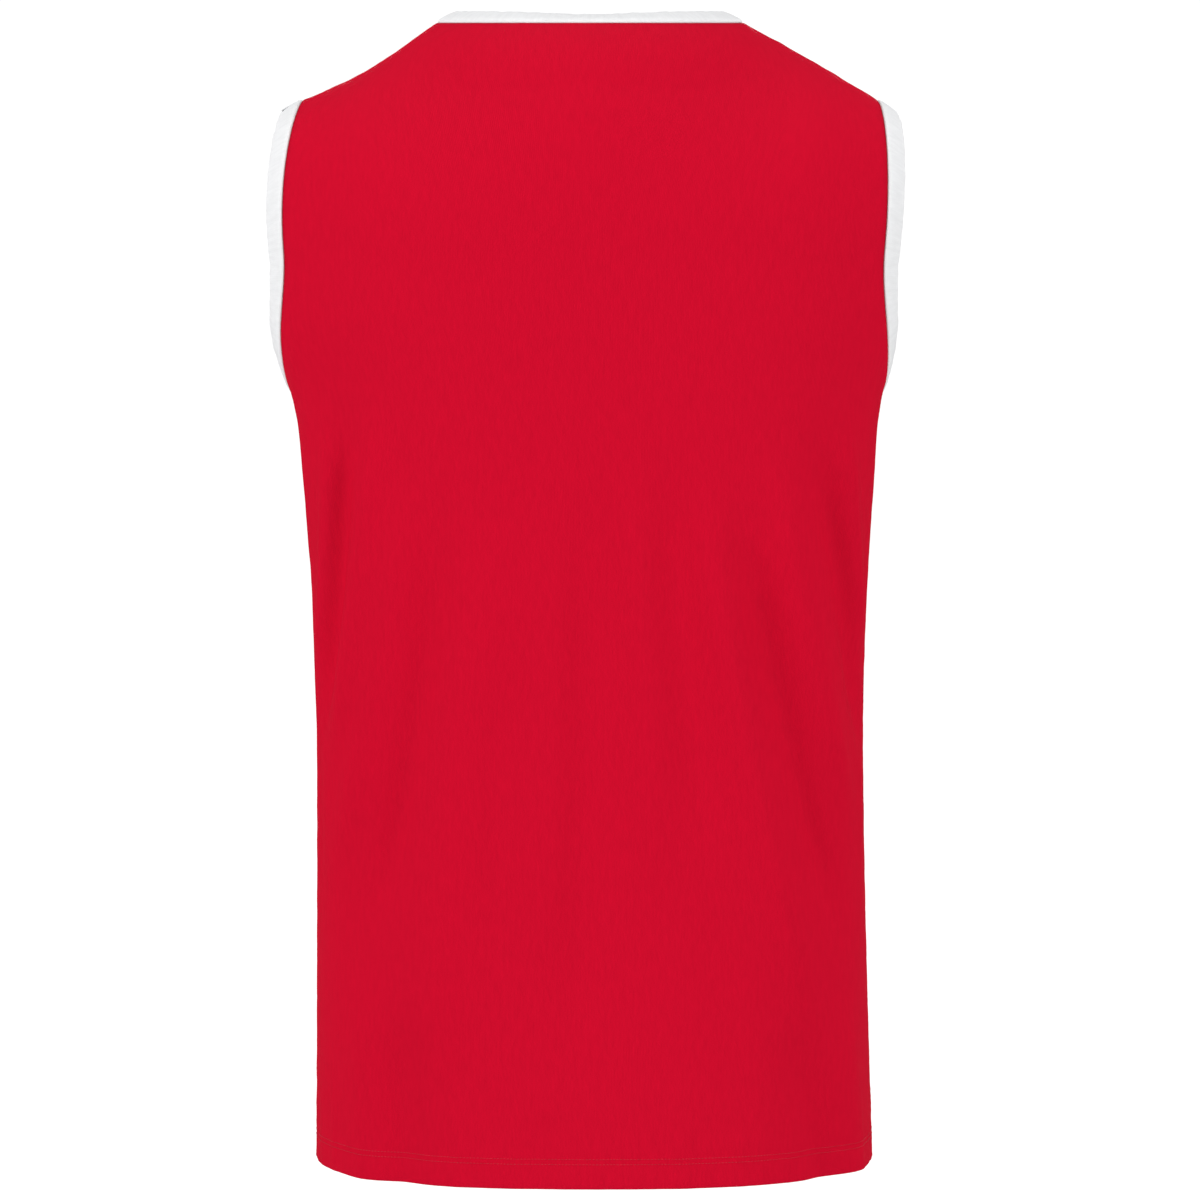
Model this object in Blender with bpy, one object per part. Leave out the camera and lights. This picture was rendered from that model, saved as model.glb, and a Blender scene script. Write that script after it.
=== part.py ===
"""A sleeveless training shirt, filled out as if worn, with its neck, hem and armholes open.

The shirt is two knitted panels, a front and a back, sewn at the sides and the shoulders, with a
doubled band round the neck and round each armhole. Each panel is cut as a flat pattern piece and
then wrapped on a plain figure. The wearer's front faces -Y, the wearer's left is +X, and +Z is up.
The origin lies midway between the two points where the shoulder seams meet the neck.
Sizes are in millimetres, and MM turns them into metres.
"""

import math
from collections import namedtuple

import bpy
import numpy as np

MM = 0.001

# ---------------------------------------------------------------- cloth
CLOTH = 1.2
SEAM_GAP = 0.3
HEM_TURN = 18.0
HEM_STEP = 1.0
BAND_WIDTH = 14.0
BAND_WALL = 2.0
BAND_PROUD = 0.4
BAND_CURL = 1.5
# How far across the band a point lies, from its seam to its free edge, and its share of the curl.
BAND_PROFILE = ((0.0, 0.0), (0.5, 0.3), (1.0, 1.0))

# ---------------------------------------------------------------- heights of the figure
HEM_HEIGHT = -705.0
UNDERARM_HEIGHT = -240.0
BLADE_HEIGHT = -150.0
HALF_BACK = 258.0
SECTION_STEPS = 721

# ---------------------------------------------------------------- neck and shoulders
NECK_HALF_WIDTH = 95.0
SHOULDER_TIP_OUT = 180.0
SHOULDER_TIP_DROP = 49.0
LEFT_SHOULDER_HOLLOW = 4.5
RIGHT_SHOULDER_HOLLOW = -1.0
CORNER_START = 0.28
CORNER_LENGTH = 0.65
CORNER_SPREAD = 0.2
CORNER_FADE = 0.4
CORNER_SHARES = np.linspace(-1.0, 1.0, 9)
SIDE_LEAN = (0.6, 0.37)
FULLNESS = 1.15
PINCH_REACH = 26.0
SLOPE_STEP = 5.0
FOLD_TAPER = 0.3

# Level sections of the figure, from the hem up to the shoulder blades. Square is the power of the
# section's rounded box, sway its shift to the wearer's left, pinch how far the side seam draws in.
Section = namedtuple("Section", "z half_width back front back_square front_square sway pinch")
SECTIONS = (
    Section(-705.0, 172.4, 128.5, 122.0, 2.5, 2.5, -2.8, 0.0),
    Section(-600.0, 170.6, 124.0, 120.0, 2.7, 2.6, -1.4, 0.0),
    Section(-500.0, 169.6, 121.0, 118.5, 2.75, 2.6, -0.4, 0.5),
    Section(-424.0, 169.9, 119.0, 118.5, 2.8, 2.6, 0.0, 1.5),
    Section(-349.0, 173.1, 118.0, 120.0, 2.8, 2.6, 0.1, 3.5),
    Section(-290.0, 178.0, 117.5, 122.0, 2.8, 2.6, 0.7, 6.0),
    Section(-240.0, 183.6, 118.0, 123.0, 2.8, 2.5, 1.6, 8.0),
    Section(-195.0, 199.5, 119.0, 120.0, 2.6, 2.4, 3.5, 6.0),
    Section(-150.0, 211.0, 119.5, 113.0, 2.3, 2.2, 3.3, 0.0),
)

# A soft fold: how far out from the panel's middle it lies, towards the wearer's left, at its top,
# middle and foot, the heights of its top and foot, its half width, and how far it lifts the cloth.
Fold = namedtuple("Fold", "out_top out_middle out_foot top foot half_width lift")
BACK_FOLDS = (
    Fold(168.0, 181.0, 211.0, -240.0, -425.0, 9.0, 3.9),
    Fold(150.0, 169.0, 204.0, -240.0, -460.0, 10.0, -5.4),
    Fold(134.0, 151.0, 180.0, -230.0, -468.0, 12.0, 5.7),
    Fold(116.0, 139.0, 178.0, -285.0, -535.0, 14.0, 4.2),
    Fold(90.0, 111.0, 147.0, -285.0, -575.0, 12.0, -5.1),
    Fold(62.0, 86.0, 108.0, -300.0, -690.0, 25.0, 4.4),
    Fold(22.0, 20.0, 30.0, -280.0, -600.0, 12.0, 2.4),
    Fold(-8.0, -2.0, 0.0, -265.0, -680.0, 25.0, -3.2),
    Fold(-25.0, -33.0, -42.0, -265.0, -560.0, 13.0, 3.0),
    Fold(-50.0, -59.0, -80.0, -260.0, -530.0, 12.0, -3.9),
    Fold(-68.0, -101.0, -148.0, -280.0, -630.0, 13.0, 5.2),
    Fold(-91.0, -128.0, -176.0, -285.0, -580.0, 12.0, -6.0),
    Fold(-115.0, -145.0, -190.0, -262.0, -510.0, 13.0, 5.2),
    Fold(-141.0, -174.0, -214.0, -250.0, -470.0, 12.0, -5.8),
    Fold(-166.0, -181.0, -206.0, -240.0, -400.0, 9.0, 3.8),
    Fold(121.0, 122.0, 124.0, -600.0, -760.0, 14.0, -3.6),
    Fold(146.0, 148.0, 152.0, -570.0, -790.0, 18.0, 3.2),
    Fold(-130.0, -146.0, -174.0, -600.0, -770.0, 14.0, -3.8),
    Fold(-172.0, -184.0, -204.0, -590.0, -790.0, 15.0, 3.2),
)
FRONT_FOLDS = (
    Fold(180.0, 186.0, 200.0, -232.0, -395.0, 10.0, 3.2),
    Fold(152.0, 161.0, 176.0, -225.0, -450.0, 12.0, -4.3),
    Fold(126.0, 140.0, 165.0, -240.0, -500.0, 13.0, 3.5),
    Fold(100.0, 118.0, 138.0, -290.0, -590.0, 13.0, -3.8),
    Fold(62.0, 80.0, 104.0, -300.0, -650.0, 16.0, 3.2),
    Fold(22.0, 16.0, 30.0, -330.0, -690.0, 20.0, -3.4),
    Fold(-20.0, -34.0, -44.0, -300.0, -600.0, 15.0, 3.0),
    Fold(-62.0, -82.0, -108.0, -310.0, -640.0, 14.0, -4.0),
    Fold(-98.0, -116.0, -141.0, -285.0, -560.0, 13.0, 4.0),
    Fold(-130.0, -150.0, -172.0, -245.0, -480.0, 11.0, -5.0),
    Fold(-166.0, -178.0, -196.0, -230.0, -385.0, 10.0, 3.5),
    Fold(138.0, 139.0, 138.0, -610.0, -770.0, 16.0, -3.0),
    Fold(-146.0, -148.0, -147.0, -590.0, -780.0, 17.0, 3.0),
)

# What sets the two panels apart. Facing is the side of the figure, along Y. The neck's depth and
# drop are those of its middle, its power how slowly the drop starts at the shoulder, and its lean
# the way the cloth points at its middle, inwards and up. The seam's lean is how far the cloth still
# rises as it reaches the shoulder seam. The neck's and the tip's shares say where, between the
# panel's middle and its side, the neck ends and the shoulder's tip lies. The counts are the mesh's.
Panel = namedtuple(
    "Panel",
    "name facing neck_depth neck_drop neck_power neck_lean seam_lean neck_share tip_share "
    "neck_columns shoulder_columns seam_rows scoop_rows top_rows folds",
)
BACK = Panel(
    name="back_panel",
    facing=1.0,
    neck_depth=68.0,
    neck_drop=12.9,
    neck_power=1.0,
    neck_lean=(0.85, 0.53),
    seam_lean=0.22,
    neck_share=0.40,
    tip_share=0.71,
    neck_columns=13,
    shoulder_columns=10,
    seam_rows=16,
    scoop_rows=8,
    top_rows=8,
    folds=BACK_FOLDS,
)
FRONT = Panel(
    name="front_panel",
    facing=-1.0,
    neck_depth=80.0,
    neck_drop=88.0,
    neck_power=1.6,
    neck_lean=(0.62, 0.78),
    seam_lean=0.3,
    neck_share=0.40,
    tip_share=0.655,
    neck_columns=12,
    shoulder_columns=8,
    seam_rows=14,
    scoop_rows=7,
    top_rows=7,
    folds=FRONT_FOLDS,
)

RELAX_ROUNDS = 200
SMOOTH_ANGLE = math.radians(40.0)
RED_JERSEY = (0.617, 0.0044, 0.0252, 1.0)
WHITE_BAND = (0.87, 0.88, 0.89, 1.0)
CLOTH_ROUGHNESS = 0.75


def clear_scene():
    """Remove whatever the file already holds."""
    for thing in list(bpy.data.objects):
        bpy.data.objects.remove(thing, do_unlink=True)


# ---------------------------------------------------------------- small helpers
def unit(vectors):
    """Vectors of length one, along the last axis."""
    return vectors / np.linalg.norm(vectors, axis=-1, keepdims=True)


def ease(t):
    """Rise smoothly from 0 to 1 while t runs from 0 to 1."""
    t = np.clip(t, 0.0, 1.0)
    return t * t * (3.0 - 2.0 * t)


def hermite(start, leave, end, arrive, t):
    """The cubic from start to end with the given directions at both ends."""
    t2 = t * t
    t3 = t2 * t
    place = (2.0 * t3 - 3.0 * t2 + 1.0) * start + (3.0 * t2 - 2.0 * t3) * end
    return place + (t3 - 2.0 * t2 + t) * leave + (t3 - t2) * arrive


# ---------------------------------------------------------------- the figure
def section_outline(panel, section, u):
    """One level section of the figure: evenly walked, u is 0 at its middle and 1 at its side."""
    facing_back = panel.facing > 0.0
    power = 2.0 / (section.back_square if facing_back else section.front_square)
    depth = section.back if facing_back else section.front
    angles = np.linspace(0.0, math.pi / 2.0, SECTION_STEPS)
    out = section.half_width * np.sin(angles) ** power
    deep = depth * np.cos(angles) ** power
    walked = np.concatenate(([0.0], np.cumsum(np.hypot(np.diff(out), np.diff(deep)))))
    angle = np.interp(np.abs(u) * walked[-1], walked, angles)
    from_seam = (1.0 - np.abs(u)) * HALF_BACK / PINCH_REACH
    x = section.half_width * np.sin(angle) ** power - section.pinch * np.exp(-from_seam * from_seam)
    y = depth * np.abs(np.cos(angle)) ** power
    return np.stack([np.sign(u) * x + section.sway, panel.facing * y], axis=-1)


def torso(panel, u, z):
    """Points on the figure below the shoulder blades, on a smooth loft through the sections."""
    heights = np.array([section.z for section in SECTIONS])
    outlines = np.array([section_outline(panel, section, u) for section in SECTIONS])
    slopes = np.gradient(outlines, heights, axis=0)
    below = np.clip(np.searchsorted(heights, z) - 1, 0, len(heights) - 2)
    span = (heights[below + 1] - heights[below])[..., None]
    t = ((z - heights[below])[..., None]) / span
    pick = below[None, ..., None]
    low, leave = (np.take_along_axis(values, pick, axis=0)[0] for values in (outlines, slopes))
    high, arrive = (np.take_along_axis(values, pick + 1, axis=0)[0] for values in (outlines, slopes))
    flat = hermite(low, leave * span, high, arrive * span, t)
    return np.concatenate([flat, z[..., None]], axis=-1)


def top_edge(panel, u):
    """Points of the neck edge and the shoulder seam, which runs on past the shoulder's tip."""
    side = np.where(u < 0.0, -1.0, 1.0)
    share = np.abs(u)
    turn = np.clip(share / panel.neck_share, 0.0, 1.0) * math.pi / 2.0
    forward = np.cos(turn)
    along = np.clip((share - panel.neck_share) / (panel.tip_share - panel.neck_share), 0.0, None)
    hollow = np.where(side > 0.0, LEFT_SHOULDER_HOLLOW, RIGHT_SHOULDER_HOLLOW)
    hollow = hollow * np.sin(math.pi * np.clip(along, 0.0, 1.0))
    x = side * (NECK_HALF_WIDTH * np.sin(turn) + (SHOULDER_TIP_OUT - NECK_HALF_WIDTH) * along)
    y = panel.facing * panel.neck_depth * forward
    z = -panel.neck_drop * forward**panel.neck_power - SHOULDER_TIP_DROP * along - hollow
    return np.stack([x, y, z], axis=-1)


def top_direction(panel, u):
    """The way the cloth points as it reaches the neck edge or the shoulder seam."""
    side = np.where(u < 0.0, -1.0, 1.0)
    turn = np.clip(np.abs(u) / panel.neck_share, 0.0, 1.0) * math.pi / 2.0
    lean_in, lean_up = panel.neck_lean
    inwards = -side * SIDE_LEAN[0] * np.sin(turn)
    level = -panel.facing * lean_in * np.cos(turn)
    upwards = lean_up * np.cos(turn) + SIDE_LEAN[1] * np.sin(turn)
    to_neck = unit(np.stack([inwards, level, upwards], axis=-1))
    to_seam = unit(np.array([0.0, -panel.facing, panel.seam_lean]))
    blend = ease((np.abs(u) - panel.neck_share + CORNER_START) / CORNER_LENGTH)[..., None]
    return unit((1.0 - blend) * to_neck + blend * to_seam)


def eased_edge(panel, u, v):
    """The top edge as the cloth below it feels it, with its corner at the neck ever softer."""
    spread = CORNER_SPREAD * np.clip((1.0 - v) / CORNER_FADE, 0.0, 1.0)
    return sum(top_edge(panel, u + share * spread) for share in CORNER_SHARES) / len(CORNER_SHARES)


def yoke(panel, u, v):
    """Points on the figure above the shoulder blades. v is 0 there and 1 at the top edge."""
    level = np.full_like(u, BLADE_HEIGHT)
    start = torso(panel, u, level)
    leave = unit(start - torso(panel, u, level - SLOPE_STEP))
    end = eased_edge(panel, u, v)
    reach = FULLNESS * np.linalg.norm(end - start, axis=-1, keepdims=True)
    return hermite(start, leave * reach, end, top_direction(panel, u) * reach, v[..., None])


def figure(panel, u, w):
    """Points on the figure: w is the height up to the shoulder blades, and 0 at the top edge."""
    low = torso(panel, u, np.minimum(w, BLADE_HEIGHT))
    high = yoke(panel, u, np.clip(1.0 - w / BLADE_HEIGHT, 0.0, 1.0))
    return np.where((w <= BLADE_HEIGHT)[..., None], low, high)


# ---------------------------------------------------------------- the pattern pieces
def pattern(panel):
    """The flat pattern piece as a grid of (u, w), a row for each course from the hem to the top."""
    half = panel.neck_columns + panel.shoulder_columns
    hem_rows = HEM_HEIGHT + np.array([0.0, HEM_TURN / 2.0, HEM_TURN, HEM_TURN + HEM_STEP])
    seam = np.linspace(hem_rows[-1], UNDERARM_HEIGHT, panel.seam_rows + 1)[1:]
    turn = np.linspace(0.0, math.pi / 2.0, panel.scoop_rows + 1)[1:]
    scoop_u = 1.0 - (1.0 - panel.tip_share) * np.sin(turn)
    scoop_w = UNDERARM_HEIGHT + (BLADE_HEIGHT - UNDERARM_HEIGHT) * (1.0 - np.cos(turn))
    top = np.linspace(BLADE_HEIGHT, 0.0, panel.top_rows + 1)[1:]
    below = len(hem_rows) + len(seam)
    edge_u = np.concatenate([np.ones(below), scoop_u, np.full(len(top), panel.tip_share)])
    edge_w = np.concatenate([hem_rows, seam, scoop_w, top])
    courses = len(edge_w) - len(hem_rows)
    middle_w = np.concatenate([hem_rows, np.linspace(hem_rows[-1], 0.0, courses + 1)[1:]])
    even = np.arange(half + 1) / half
    neck = panel.neck_share * np.arange(panel.neck_columns + 1) / panel.neck_columns
    shoulder = np.linspace(panel.neck_share, panel.tip_share, panel.shoulder_columns + 1)[1:]
    top_row = np.concatenate([neck, shoulder]) / panel.tip_share
    rise = ease((edge_w - UNDERARM_HEIGHT) / -UNDERARM_HEIGHT)[:, None]
    spread = (1.0 - rise) * even + rise * top_row
    right_u = edge_u[:, None] * spread
    right_w = middle_w[:, None] + (edge_w - middle_w)[:, None] * even**2
    u = np.concatenate([-right_u[:, :0:-1], right_u], axis=1)
    w = np.concatenate([right_w[:, :0:-1], right_w], axis=1)
    fixed = len(hem_rows)
    for _ in range(RELAX_ROUNDS):
        for grid in (u, w):
            around = grid[:-2, 1:-1] + grid[2:, 1:-1] + grid[1:-1, :-2] + grid[1:-1, 2:]
            grid[fixed:-1, 1:-1] = around[fixed - 1 :] / 4.0
    return u, w, below - 1


def fold_lift(panel, u, w):
    """How far the panel's folds push the cloth out, or let it in, at each point."""
    out = u * HALF_BACK
    lift = np.zeros_like(u)
    for fold in panel.folds:
        t = (fold.top - w) / (fold.top - fold.foot)
        bend = fold.out_middle - (fold.out_top + fold.out_foot) / 2.0
        line = fold.out_top + (fold.out_foot - fold.out_top) * t + 4.0 * bend * t * (1.0 - t)
        across = (out - line) / fold.half_width
        taper = ease(t / FOLD_TAPER) * ease((1.0 - t) / FOLD_TAPER)
        lift += fold.lift * np.exp(-across * across) * taper
    return lift


def outward(points, facing):
    """The way out of the cloth at each point of a grid."""
    along = np.gradient(points, axis=1)
    up = np.gradient(points, axis=0)
    return unit(np.cross(up, along)) * facing


# ---------------------------------------------------------------- the panels
def panel_walls(panel):
    """The outer points, the inner points and the outward directions of one panel."""
    u, w, underarm = pattern(panel)
    points = figure(panel, u, w)
    points = points + outward(points, panel.facing) * fold_lift(panel, u, w)[..., None]
    points[..., 1] += panel.facing * SEAM_GAP / 2.0
    seam_plane = panel.facing * SEAM_GAP / 2.0
    shoulder = panel.shoulder_columns + 1
    seam_edges = (
        (slice(0, underarm + 1), slice(0, 1)),
        (slice(0, underarm + 1), slice(-1, None)),
        (slice(-1, None), slice(0, shoulder)),
        (slice(-1, None), slice(-shoulder, None)),
    )
    for rows, columns in seam_edges:
        points[rows, columns, 1] = seam_plane
    out = outward(points, panel.facing)
    for rows, columns in seam_edges:
        out[rows, columns, 1] = 0.0
    out[0, :, 2] = 0.0
    out = unit(out)
    wall = np.where(w <= HEM_HEIGHT + HEM_TURN + HEM_STEP / 2.0, 2.0 * CLOTH, CLOTH)
    return points, points - out * wall[..., None], out, underarm


def grid_faces(rows, columns, start):
    """Quads of a grid of points, numbered from start."""
    faces = []
    for r in range(rows - 1):
        for c in range(columns - 1):
            corner = start + r * columns + c
            faces.append((corner, corner + 1, corner + columns + 1, corner + columns))
    return faces


def panel_mesh(outer, inner, facing):
    """Vertices and faces of a closed wall between two grids."""
    rows, columns = outer.shape[:2]
    count = rows * columns
    vertices = [tuple(p) for p in np.concatenate([outer.reshape(-1, 3), inner.reshape(-1, 3)]) * MM]
    front = grid_faces(rows, columns, 0)
    back = [face[::-1] for face in grid_faces(rows, columns, count)]
    ring = list(range(columns))
    ring += [r * columns + columns - 1 for r in range(1, rows)]
    ring += [(rows - 1) * columns + c for c in range(columns - 2, -1, -1)]
    ring += [r * columns for r in range(rows - 2, 0, -1)]
    rim = []
    for k, here in enumerate(ring):
        there = ring[(k + 1) % len(ring)]
        rim.append((there, here, here + count, there + count))
    faces = front + back + rim
    if facing > 0.0:
        faces = [face[::-1] for face in faces]
    return vertices, faces


# ---------------------------------------------------------------- the bands
def loop_frames(places, outs):
    """The directions of a band at each point of its seam: out of the cloth, and away from it."""
    places = np.array(places)
    along = unit(np.roll(places, -1, axis=0) - np.roll(places, 1, axis=0))
    outs = np.array(outs)
    outs = unit(outs - along * np.sum(outs * along, axis=1, keepdims=True))
    return places, outs, np.cross(outs, along)


def meet(one, other):
    """The middle of the two corners that a seam brings together, and its outward direction."""
    place = (one[0] + other[0]) / 2.0
    return place, unit(one[1] + other[1])


def armhole_loop(back, front, side):
    """Seam points round one armhole, from the underarm up the back and down the front."""
    column = -1 if side > 0.0 else 0
    rise = [(back[0][r, column], back[2][r, column]) for r in range(back[3], back[0].shape[0])]
    fall = [(front[0][r, column], front[2][r, column]) for r in range(front[3], front[0].shape[0])]
    fall = fall[::-1]
    stations = [meet(rise[0], fall[-1])] + rise[1:-1] + [meet(rise[-1], fall[0])] + fall[1:-1]
    return [place for place, out in stations], [out for place, out in stations]


def neck_loop(back, front):
    """Seam points round the neck, from the wearer's left round the back."""
    halves = []
    for panel, walls in ((BACK, back), (FRONT, front)):
        first = panel.shoulder_columns
        last = walls[0].shape[1] - panel.shoulder_columns
        halves.append([(walls[0][-1, c], walls[2][-1, c]) for c in range(first, last)])
    rear = halves[0][::-1]
    fore = halves[1]
    stations = [meet(rear[0], fore[-1])] + rear[1:-1] + [meet(rear[-1], fore[0])] + fore[1:-1]
    return [place for place, out in stations], [out for place, out in stations]


def band_mesh(places, outs, away):
    """Vertices and faces of a doubled band sewn along a loop. away is +1 or -1."""
    places, outs, across = loop_frames(places, outs)
    across = across * away
    outer = []
    inner = []
    for share, curl in BAND_PROFILE:
        line = places + across * (SEAM_GAP + share * BAND_WIDTH)
        lift = BAND_PROUD - curl * BAND_CURL
        outer.append(line + outs * lift)
        inner.append(line + outs * (lift - BAND_WALL))
    rings = np.stack(outer + inner[::-1], axis=1) * MM
    stations, points = rings.shape[:2]
    faces = []
    for s in range(stations):
        ahead = (s + 1) % stations
        for p in range(points):
            beside = (p + 1) % points
            face = (s * points + p, s * points + beside, ahead * points + beside, ahead * points + p)
            faces.append(face if away < 0.0 else face[::-1])
    return [tuple(p) for p in rings.reshape(-1, 3)], faces


# ---------------------------------------------------------------- objects
def cloth_material(name, colour):
    """A matt knitted cloth of one colour."""
    material = bpy.data.materials.new(name)
    material.use_nodes = True
    shader = material.node_tree.nodes["Principled BSDF"]
    shader.inputs["Base Color"].default_value = colour
    shader.inputs["Roughness"].default_value = CLOTH_ROUGHNESS
    shader.inputs["Metallic"].default_value = 0.0
    return material


def add_piece(name, vertices, faces, colour):
    """One sewn piece as an object of its own."""
    mesh = bpy.data.meshes.new(name)
    mesh.from_pydata(vertices, [], faces)
    mesh.validate()
    mesh.shade_smooth()
    mesh.set_sharp_from_angle(angle=SMOOTH_ANGLE)
    mesh.materials.append(cloth_material(name + "_cloth", colour))
    piece = bpy.data.objects.new(name, mesh)
    bpy.context.scene.collection.objects.link(piece)
    return piece


def build():
    """Make every piece of the shirt."""
    clear_scene()
    walls = {}
    for panel in (BACK, FRONT):
        walls[panel.name] = panel_walls(panel)
        outer, inner = walls[panel.name][:2]
        add_piece(panel.name, *panel_mesh(outer, inner, panel.facing), RED_JERSEY)
    back = walls[BACK.name]
    front = walls[FRONT.name]
    add_piece("neck_band", *band_mesh(*neck_loop(back, front), 1.0), WHITE_BAND)
    add_piece("armhole_band_left", *band_mesh(*armhole_loop(back, front, 1.0), 1.0), WHITE_BAND)
    add_piece("armhole_band_right", *band_mesh(*armhole_loop(back, front, -1.0), -1.0), WHITE_BAND)


build()
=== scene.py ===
# %% [markdown]
# # A sleeveless training shirt
#
# This is a training shirt without sleeves, in red polyester jersey, with white bands round the
# neck and the armholes. It is seen from behind and filled out as if somebody wore it, with nobody
# in it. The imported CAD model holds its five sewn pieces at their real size: a back, a front, a
# neck band and two armhole bands. This script makes the looks. Each piece is modelled again as
# thin cloth with a knitted surface, seams, a turned hem and stitches, and is lit plainly.
#
# The wearer's front faces -Y, the wearer's left is +X and +Z is up. The origin lies midway between
# the two points where the shoulder seams meet the neck. Lengths are named in millimetres, because
# a shirt is cut in millimetres, and MM turns them into Blender's metres.

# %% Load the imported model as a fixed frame
import math
from collections import namedtuple

import bmesh
import bpy
import numpy as np
from mathutils import Matrix, Vector


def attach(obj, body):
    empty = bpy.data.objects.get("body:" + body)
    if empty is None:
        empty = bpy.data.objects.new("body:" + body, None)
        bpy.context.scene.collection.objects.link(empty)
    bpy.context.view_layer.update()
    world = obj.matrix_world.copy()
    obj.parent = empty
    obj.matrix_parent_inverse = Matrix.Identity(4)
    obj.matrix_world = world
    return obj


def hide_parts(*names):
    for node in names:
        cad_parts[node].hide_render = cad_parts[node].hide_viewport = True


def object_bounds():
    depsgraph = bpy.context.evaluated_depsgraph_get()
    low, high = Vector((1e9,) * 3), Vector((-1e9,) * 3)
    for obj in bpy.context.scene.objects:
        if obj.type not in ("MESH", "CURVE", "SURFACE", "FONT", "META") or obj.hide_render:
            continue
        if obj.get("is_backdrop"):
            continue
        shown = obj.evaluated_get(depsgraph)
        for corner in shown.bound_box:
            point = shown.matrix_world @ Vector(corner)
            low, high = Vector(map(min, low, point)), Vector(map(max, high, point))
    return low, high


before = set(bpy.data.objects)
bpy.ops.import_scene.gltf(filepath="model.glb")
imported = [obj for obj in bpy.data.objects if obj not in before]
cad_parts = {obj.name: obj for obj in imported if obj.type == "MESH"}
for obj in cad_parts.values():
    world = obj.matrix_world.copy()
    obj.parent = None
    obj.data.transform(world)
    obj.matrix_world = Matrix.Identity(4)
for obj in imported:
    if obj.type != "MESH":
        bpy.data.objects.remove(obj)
CAD_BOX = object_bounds()
MM = 0.001
print("sewn pieces in the frame:", ", ".join(sorted(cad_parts)))

# %% [markdown]
# ## The camera
#
# The shirt was photographed level with its middle, from behind, from a little under two metres.
# A camera could be aimed at the shirt with a constraint, but a level camera that looks straight
# along -Y needs only a place and a lens. The lens follows from how wide the picture is where the
# shirt is, so both stay readable as real lengths.

# %% Camera
CAMERA_DISTANCE = 1900.0
CAMERA_SIDE = -6.25
CAMERA_HEIGHT = -361.25
PICTURE_WIDTH = 750.0
SENSOR = 36.0
# In metres, as Blender's own.
CLIP_END = 100.0

lens = bpy.data.cameras.new("camera")
lens.sensor_width = SENSOR
lens.lens = SENSOR * CAMERA_DISTANCE / PICTURE_WIDTH
lens.clip_end = CLIP_END
camera = bpy.data.objects.new("camera", lens)
camera.location = Vector((CAMERA_SIDE, CAMERA_DISTANCE, CAMERA_HEIGHT)) * MM
camera.rotation_euler = (math.radians(90.0), 0.0, math.radians(180.0))
bpy.context.scene.collection.objects.link(camera)
bpy.context.scene.camera = camera
print(f"lens {lens.lens:.1f} mm")

# %% [markdown]
# ## The studio
#
# The light in the photograph is soft. It comes from both sides of the camera and from above, a
# little stronger from the left, and the ground behind the shirt is white. A single lamp would leave
# one side dark, and a white world alone would flatten the folds. So a pale world fills in the
# shadows, a wide sun straight above lights the shoulders, a soft box on each side grazes the folds,
# and a third one lights the wearer's front, which the photograph doesn't show. The world and the
# floor are brighter to the camera than to the cloth, so the ground stays white while the light on
# the cloth stays gentle. The floor lies where a wearer would stand.

# %% Helpers for new objects and materials
def new_object(name, bm):
    """An object in the scene with the bmesh's shape. The bmesh is used up."""
    mesh = bpy.data.meshes.new(name)
    bm.to_mesh(mesh)
    bm.free()
    made = bpy.data.objects.new(name, mesh)
    bpy.context.scene.collection.objects.link(made)
    return made


def new_material(name, roughness):
    """A material, its node tree and its shader."""
    material = bpy.data.materials.new(name)
    material.use_nodes = True
    tree = material.node_tree
    shader = tree.nodes["Principled BSDF"]
    shader.inputs["Roughness"].default_value = roughness
    return material, tree, shader


# %% World
SKY_ON_CLOTH = 0.16
SKY_SEEN = 1.05
PLAIN_WHITE = (1.0, 1.0, 1.0, 1.0)


def white_world():
    """A plain white world, brighter where the camera looks straight at it."""
    world = bpy.data.worlds.new("studio")
    world.use_nodes = True
    nodes = world.node_tree.nodes
    links = world.node_tree.links
    sky = nodes["Background"]
    sky.inputs["Color"].default_value = PLAIN_WHITE
    path = nodes.new("ShaderNodeLightPath")
    level = nodes.new("ShaderNodeMapRange")
    level.inputs["To Min"].default_value = SKY_ON_CLOTH
    level.inputs["To Max"].default_value = SKY_SEEN
    links.new(path.outputs["Is Camera Ray"], level.inputs["Value"])
    links.new(level.outputs["Result"], sky.inputs["Strength"])
    bpy.context.scene.world = world


white_world()
bpy.context.scene.view_settings.view_transform = "Standard"
print("view transform:", bpy.context.scene.view_settings.view_transform)

# %% Lights
# A studio is laid out in metres, unlike the shirt.
OVERHEAD_STRENGTH = 1.6
OVERHEAD_SOFTNESS = math.radians(60.0)
BOX_SIZE = 1.5
BOX_DISTANCE = 2.7
BOX_AIM = Vector((0.0, 0.0, -0.3))
# How far round from the camera's side of the shirt each soft box stands, in degrees towards the
# wearer's left, its height in metres and its power in watts.
SoftBox = namedtuple("SoftBox", "name round_from_back height power")
SOFT_BOXES = (
    SoftBox("left_box", 54.0, 0.1, 49.0),
    SoftBox("right_box", -52.0, 0.1, 44.0),
    SoftBox("far_box", 180.0, 0.4, 45.0),
)


def overhead_light():
    """A wide sun straight above, which lights the floor and the tops of the shoulders."""
    sun = bpy.data.lights.new("overhead", "SUN")
    sun.energy = OVERHEAD_STRENGTH
    sun.angle = OVERHEAD_SOFTNESS
    bpy.context.scene.collection.objects.link(bpy.data.objects.new("overhead", sun))


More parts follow.
